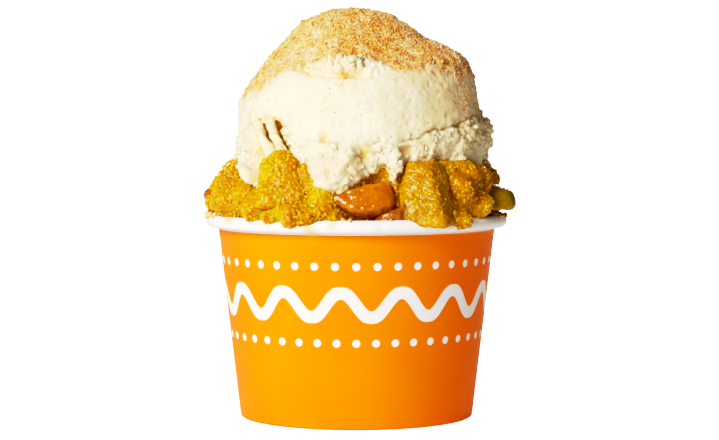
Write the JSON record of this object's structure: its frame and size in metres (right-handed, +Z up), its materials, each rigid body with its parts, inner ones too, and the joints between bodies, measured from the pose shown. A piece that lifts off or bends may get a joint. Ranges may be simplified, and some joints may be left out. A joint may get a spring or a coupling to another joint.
{
  "type": "peach cobbler in a paper tub with ice cream",
  "caption": "Warm peach cobbler heaped in a tapered paper tub with a rolled rim, under a scoop of vanilla ice cream dusted with crumbs.",
  "frame": {"origin": "on the tub's axis, on the surface that the tub's foot stands on", "axes": "+Z up along the tub's axis, -Y towards the front, +X to the right seen from the front"},
  "size_m": [0.1014, 0.0995, 0.1334],
  "materials": {
    "printed_board": "satin orange print on coated board, white rolled rim",
    "white_board": "uncoated white board",
    "wet_crumble": "wet, syrup-soaked crumble",
    "vanilla_ice_cream": "soft and slightly moist, golden crumbs on top",
    "peach_flesh": "wet cooked fruit",
    "syrup": "clear amber liquid"
  },
  "bodies": {
    "root": {"cup_wall": "printed_board", "cup_base": "white_board", "cobbler_filling": "wet_crumble", "ice_cream": "vanilla_ice_cream", "peach_chunk_back": "peach_flesh", "peach_chunk_left": "peach_flesh", "peach_chunk_right": "peach_flesh", "peach_piece_rim": "peach_flesh", "peach_slice_back": "peach_flesh", "peach_slice_front": "peach_flesh", "peach_slice_left": "peach_flesh", "syrup_pool": "syrup"}
  },
  "joints": []
}
